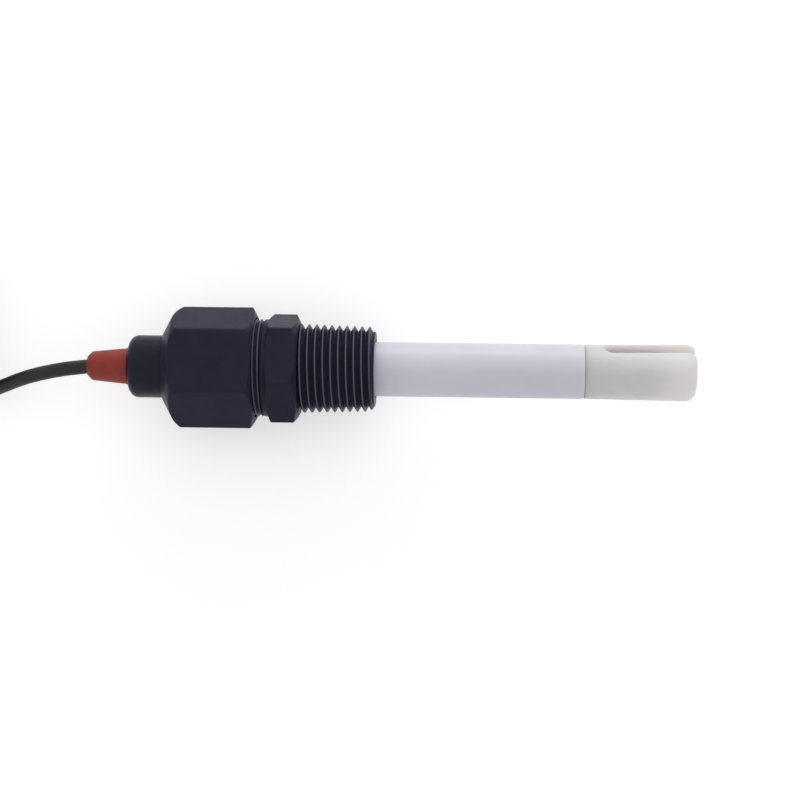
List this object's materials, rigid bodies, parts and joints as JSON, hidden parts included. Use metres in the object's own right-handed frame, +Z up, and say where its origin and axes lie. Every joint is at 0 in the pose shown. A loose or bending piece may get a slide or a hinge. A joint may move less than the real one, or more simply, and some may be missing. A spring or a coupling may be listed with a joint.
{
  "type": "conductivity probe",
  "caption": "In-line conductivity probe with a slotted plastic cell, a half-inch pipe fitting with union nut, and a tied free cable with fork terminals.",
  "frame": {"origin": "under the middle of the probe without its free cable, on the surface it lies on", "axes": "+X along the probe's axis from the cable end to the slotted tip, +Z up, +Y to the side where most of the tied cable lies"},
  "size_m": [0.2692, 0.0429, 0.0256],
  "materials": {
    "stem_plastic": "cool white moulded plastic, satin",
    "sleeve_plastic": "warm white moulded plastic, satin",
    "fitting_plastic": "black moulded plastic, satin",
    "head_plastic": "black moulded plastic, satin",
    "relief_rubber": "brick red moulded rubber",
    "cord_jacket": "black extruded jacket, satin",
    "seal_rubber": "black moulded rubber",
    "slip_ring_plastic": "white turned plastic",
    "graphite": "dark grey pressed graphite",
    "capsule_steel": "drawn stainless steel",
    "resin": "poured dark resin",
    "tinned_copper": "tin plated copper",
    "wire_red": "red insulation",
    "wire_black": "black insulation",
    "wire_white": "white insulation",
    "wire_yellow": "yellow insulation"
  },
  "bodies": {
    "probe": {"cell_sleeve": "sleeve_plastic", "electrode_carrier": "sleeve_plastic", "electrode_plate_1": "graphite", "electrode_plate_2": "graphite", "thermistor_capsule": "capsule_steel", "probe_stem": "stem_plastic", "rear_head": "head_plastic", "resin_seal": "resin", "cable_inlet": "cord_jacket", "strain_relief": "relief_rubber", "inner_lead_1": "wire_red", "inner_lead_2": "wire_black", "inner_lead_3": "wire_white", "inner_lead_4": "wire_yellow", "fitting_body": "fitting_plastic", "stem_o_ring": "seal_rubber", "union_gasket": "seal_rubber", "cord_lead_in": "cord_jacket", "cord_hank": "cord_jacket", "cord_lead_out": "cord_jacket", "hank_tie": "seal_rubber", "breakout_sleeve": "seal_rubber", "conductor_1": "wire_red", "conductor_2": "wire_black", "conductor_3": "wire_white", "conductor_4": "wire_yellow", "fork_lug_1": "tinned_copper", "fork_lug_2": "tinned_copper", "fork_lug_3": "tinned_copper", "fork_lug_4": "tinned_copper"},
    "slip_ring": {"slip_ring": "slip_ring_plastic"},
    "union_nut": {"union_nut": "fitting_plastic"}
  },
  "joints": [
    {"name": "nut_travel", "type": "slide", "parent": "probe", "child": "slip_ring", "axis": [-1, 0, 0], "range_m": [0, 0.0084]},
    {"name": "nut_turn", "type": "hinge", "parent": "slip_ring", "child": "union_nut", "pos_m": [-0.0432, 0, 0.0128], "axis": [-1, 0, 0], "range_deg": [0, 2520]}
  ],
  "couplings": [
    {"joint": "nut_travel", "follows": "nut_turn", "m_per_rad": 0.00019099}
  ]
}
